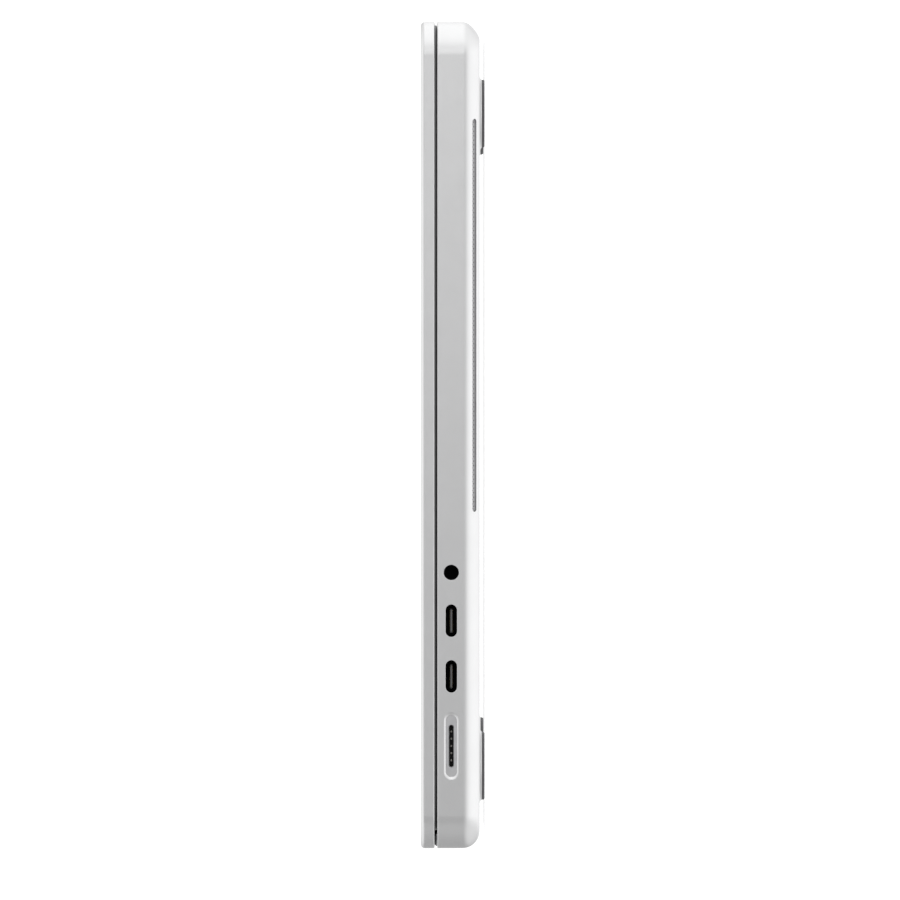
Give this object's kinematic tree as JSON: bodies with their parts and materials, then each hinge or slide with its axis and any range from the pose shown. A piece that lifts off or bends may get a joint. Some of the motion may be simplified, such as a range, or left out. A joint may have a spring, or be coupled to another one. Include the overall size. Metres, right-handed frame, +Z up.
{
  "type": "laptop computer",
  "caption": "Slim closed laptop computer with an aluminium shell, a lid on a friction hinge, side sockets, air slots and round feet.",
  "frame": {"origin": "centre of the footprint at the undersides of the feet, lid closed", "axes": "+Z up through the lid, +X to the user's right along the width, -Y towards the front edge, hinge at +Y"},
  "size_m": [0.3126, 0.2212, 0.0171],
  "materials": {
    "lid_aluminium": "fine satin anodised",
    "case_aluminium": "fine satin anodised",
    "cover_aluminium": "fine satin anodised",
    "gasket_rubber": "matt",
    "display_glass": "glossy black, opaque when off",
    "display_panel": "matt",
    "camera_plastic": "satin",
    "clutch_plastic": "satin",
    "hinge_steel": "satin",
    "foot_rubber": "matt",
    "screw_steel": "satin",
    "socket_plastic": "satin",
    "charge_metal": "satin",
    "key_plastic": "matt",
    "tray_plastic": "matt",
    "trackpad_glass": "fine satin",
    "battery_pouch": "black laminate over an aluminium pouch",
    "board_plastic": "satin",
    "pipe_copper": "satin, copper",
    "fan_plastic": "satin",
    "speaker_plastic": "satin",
    "grille_plastic": "satin"
  },
  "bodies": {
    "base": {"battery_left": "battery_pouch", "battery_middle": "battery_pouch", "battery_right": "battery_pouch", "bottom_cover": "cover_aluminium", "card_slot": "socket_plastic", "charge_port": "charge_metal", "cover_screw_1": "screw_steel", "cover_screw_2": "screw_steel", "cover_screw_3": "screw_steel", "cover_screw_4": "screw_steel", "cover_screw_5": "screw_steel", "cover_screw_6": "screw_steel", "cover_screw_7": "screw_steel", "cover_screw_8": "screw_steel", "fan_housing_left": "fan_plastic", "fan_housing_right": "fan_plastic", "foot_front_left": "foot_rubber", "foot_front_right": "foot_rubber", "foot_rear_left": "foot_rubber", "foot_rear_right": "foot_rubber", "hdmi_port": "socket_plastic", "headphone_jack": "socket_plastic", "heat_pipe": "pipe_copper", "hinge_bracket_left": "hinge_steel", "hinge_bracket_right": "hinge_steel", "keyboard_tray": "tray_plastic", "logic_board": "board_plastic", "rear_vent_grille": "grille_plastic", "speaker_left": "speaker_plastic", "speaker_right": "speaker_plastic", "top_case": "case_aluminium", "usb_c_left_front": "socket_plastic", "usb_c_left_rear": "socket_plastic", "usb_c_right": "socket_plastic"},
    "lid": {"lid_cover": "lid_aluminium", "lid_gasket": "gasket_rubber", "display_glass": "display_glass", "display_panel": "display_panel", "camera_module": "camera_plastic", "clutch_cover": "clutch_plastic", "lid_arm_left": "hinge_steel", "lid_arm_right": "hinge_steel"},
    "key_arrow_down_body": {"key_arrow_down": "key_plastic"},
    "key_arrow_left_body": {"key_arrow_left": "key_plastic"},
    "key_arrow_right_body": {"key_arrow_right": "key_plastic"},
    "key_arrow_up_body": {"key_arrow_up": "key_plastic"},
    "key_power_body": {"key_power": "key_plastic"},
    "key_row_function_body": {"key_row_function": "key_plastic"},
    "key_row_home_body": {"key_row_home": "key_plastic"},
    "key_row_left_modifiers_body": {"key_row_left_modifiers": "key_plastic"},
    "key_row_lower_body": {"key_row_lower": "key_plastic"},
    "key_row_number_body": {"key_row_number": "key_plastic"},
    "key_row_right_modifiers_body": {"key_row_right_modifiers": "key_plastic"},
    "key_row_upper_body": {"key_row_upper": "key_plastic"},
    "key_space_body": {"key_space": "key_plastic"},
    "trackpad_body": {"trackpad": "trackpad_glass"},
    "fan_impeller_left_body": {"fan_impeller_left": "fan_plastic"},
    "fan_impeller_right_body": {"fan_impeller_right": "fan_plastic"}
  },
  "joints": [
    {"name": "lid_hinge", "type": "hinge", "parent": "base", "child": "lid", "pos_m": [0, 0.1088, 0.00925], "axis": [-1, 0, 0], "range_deg": [0, 130]},
    {"name": "key_arrow_down_press", "type": "slide", "parent": "base", "child": "key_arrow_down_body", "axis": [0, 0, -1], "range_m": [0, 0.001], "stiffness_N_per_m": 350, "springref_m": -0.001},
    {"name": "key_arrow_left_press", "type": "slide", "parent": "base", "child": "key_arrow_left_body", "axis": [0, 0, -1], "range_m": [0, 0.001], "stiffness_N_per_m": 350, "springref_m": -0.001},
    {"name": "key_arrow_right_press", "type": "slide", "parent": "base", "child": "key_arrow_right_body", "axis": [0, 0, -1], "range_m": [0, 0.001], "stiffness_N_per_m": 350, "springref_m": -0.001},
    {"name": "key_arrow_up_press", "type": "slide", "parent": "base", "child": "key_arrow_up_body", "axis": [0, 0, -1], "range_m": [0, 0.001], "stiffness_N_per_m": 350, "springref_m": -0.001},
    {"name": "key_power_press", "type": "slide", "parent": "base", "child": "key_power_body", "axis": [0, 0, -1], "range_m": [0, 0.001], "stiffness_N_per_m": 350, "springref_m": -0.001},
    {"name": "key_row_function_press", "type": "slide", "parent": "base", "child": "key_row_function_body", "axis": [0, 0, -1], "range_m": [0, 0.001], "stiffness_N_per_m": 600, "springref_m": -0.001},
    {"name": "key_row_home_press", "type": "slide", "parent": "base", "child": "key_row_home_body", "axis": [0, 0, -1], "range_m": [0, 0.001], "stiffness_N_per_m": 600, "springref_m": -0.001},
    {"name": "key_row_left_modifiers_press", "type": "slide", "parent": "base", "child": "key_row_left_modifiers_body", "axis": [0, 0, -1], "range_m": [0, 0.001], "stiffness_N_per_m": 600, "springref_m": -0.001},
    {"name": "key_row_lower_press", "type": "slide", "parent": "base", "child": "key_row_lower_body", "axis": [0, 0, -1], "range_m": [0, 0.001], "stiffness_N_per_m": 600, "springref_m": -0.001},
    {"name": "key_row_number_press", "type": "slide", "parent": "base", "child": "key_row_number_body", "axis": [0, 0, -1], "range_m": [0, 0.001], "stiffness_N_per_m": 600, "springref_m": -0.001},
    {"name": "key_row_right_modifiers_press", "type": "slide", "parent": "base", "child": "key_row_right_modifiers_body", "axis": [0, 0, -1], "range_m": [0, 0.001], "stiffness_N_per_m": 600, "springref_m": -0.001},
    {"name": "key_row_upper_press", "type": "slide", "parent": "base", "child": "key_row_upper_body", "axis": [0, 0, -1], "range_m": [0, 0.001], "stiffness_N_per_m": 600, "springref_m": -0.001},
    {"name": "key_space_press", "type": "slide", "parent": "base", "child": "key_space_body", "axis": [0, 0, -1], "range_m": [0, 0.001], "stiffness_N_per_m": 350, "springref_m": -0.001},
    {"name": "trackpad_press", "type": "slide", "parent": "base", "child": "trackpad_body", "axis": [0, 0, -1], "range_m": [0, 0.0002], "stiffness_N_per_m": 4000, "springref_m": -0.0003},
    {"name": "fan_impeller_left_spin", "type": "hinge", "parent": "base", "child": "fan_impeller_left_body", "pos_m": [-0.095, 0.073, 0.0061], "axis": [0, 0, 1], "continuous": true},
    {"name": "fan_impeller_right_spin", "type": "hinge", "parent": "base", "child": "fan_impeller_right_body", "pos_m": [0.095, 0.073, 0.0061], "axis": [0, 0, 1], "continuous": true}
  ]
}
